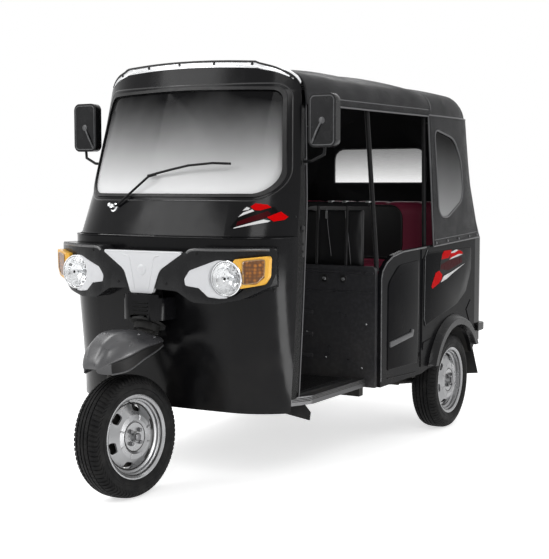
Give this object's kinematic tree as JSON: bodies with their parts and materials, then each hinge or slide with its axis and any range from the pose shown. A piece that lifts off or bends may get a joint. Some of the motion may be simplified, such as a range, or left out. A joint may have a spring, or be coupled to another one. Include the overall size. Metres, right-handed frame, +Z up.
{
  "type": "auto rickshaw",
  "caption": "Three-wheeled passenger taxi with a pressed front, open sides, canvas hood, steered front wheel and driven rear wheels.",
  "frame": {"origin": "on the ground below the middle of the vehicle's overall box", "axes": "+X to the vehicle's left, +Y to its rear, +Z up; it faces -Y"},
  "size_m": [1.348, 2.6178, 1.7679],
  "materials": {
    "black_paint": "gloss",
    "chassis_paint": "satin",
    "bright_strip": "satin",
    "glass": "polished",
    "rubber": "matte",
    "tyre": "matte",
    "mask_plastic": "matte",
    "silver_plastic": "satin metallic",
    "lamp_lens": "clear over a reflector",
    "amber_lens": "clear over a reflector",
    "red_lens": "gloss",
    "aluminium": "brushed",
    "cast_alloy": "as cast",
    "black_vinyl": "grained vinyl",
    "maroon_vinyl": "grained vinyl",
    "canvas": "coated canvas",
    "clear_vinyl": "clear sheet",
    "wheel_steel": "silver paint"
  },
  "bodies": {
    "body": {"apron": "black_paint", "screen_frame": "black_paint", "header_strip": "bright_strip", "windscreen": "glass", "windscreen_gasket": "rubber", "front_fascia": "mask_plastic", "fascia_insert": "silver_plastic", "headlamps": "lamp_lens", "indicators": "amber_lens", "nose_cowl": "mask_plastic", "chassis_rails": "chassis_paint", "cross_members": "chassis_paint", "steering_head": "chassis_paint", "driver_floor": "black_paint", "sill_trims": "aluminium", "engine": "cast_alloy", "trailing_arms": "chassis_paint", "shock_absorbers": "chassis_paint", "exhaust": "chassis_paint", "mud_flaps": "rubber", "bulkhead": "black_paint", "bench_box": "black_paint", "wheel_wells": "black_paint", "wheel_flares": "mask_plastic", "rear_panel": "black_paint", "rear_bumper": "mask_plastic", "tail_lamps": "red_lens", "driver_seat": "black_vinyl", "driver_seat_box": "black_paint", "driver_backrest": "black_vinyl", "bench_cushion": "maroon_vinyl", "bench_backrest": "maroon_vinyl", "hood": "canvas", "side_windows": "clear_vinyl", "rear_window": "clear_vinyl", "roof_frame": "black_paint", "posts": "black_paint", "partition_rail": "black_paint", "mirror_arms": "black_paint", "mirrors": "mask_plastic", "wiper": "black_paint", "body_side_left": "black_paint", "body_side_right": "black_paint"},
    "engine_lid": {"engine_lid": "black_paint"},
    "steering": {"handlebar": "chassis_paint", "front_fork": "chassis_paint", "front_mudguard": "black_paint"},
    "front_wheel": {"front_tyre": "tyre", "front_rim": "wheel_steel"},
    "rear_wheel_left": {"rear_tyre_left": "tyre", "rear_rim_left": "wheel_steel"},
    "rear_wheel_right": {"rear_tyre_right": "tyre", "rear_rim_right": "wheel_steel"}
  },
  "joints": [
    {"name": "steering_turn", "type": "hinge", "parent": "body", "child": "steering", "pos_m": [0, -0.8755, 0.75], "axis": [0, 0.4226, 0.9063], "range_deg": [-33.4, 46.6]},
    {"name": "front_wheel_spin", "type": "hinge", "parent": "steering", "child": "front_wheel", "pos_m": [0.00495, -1.06376, 0.24512], "axis": [0.9934, -0.1042, 0.0486], "continuous": true},
    {"name": "rear_wheel_left_spin", "type": "hinge", "parent": "body", "child": "rear_wheel_left", "pos_m": [0.551, 0.8565, 0.245], "axis": [1, 0, 0], "continuous": true},
    {"name": "rear_wheel_right_spin", "type": "hinge", "parent": "body", "child": "rear_wheel_right", "pos_m": [-0.551, 0.8565, 0.245], "axis": [1, 0, 0], "continuous": true},
    {"name": "engine_lid_hinge", "type": "hinge", "parent": "body", "child": "engine_lid", "pos_m": [0, 1.2835, 0.803], "axis": [1, 0, 0], "range_deg": [0, 75]}
  ]
}
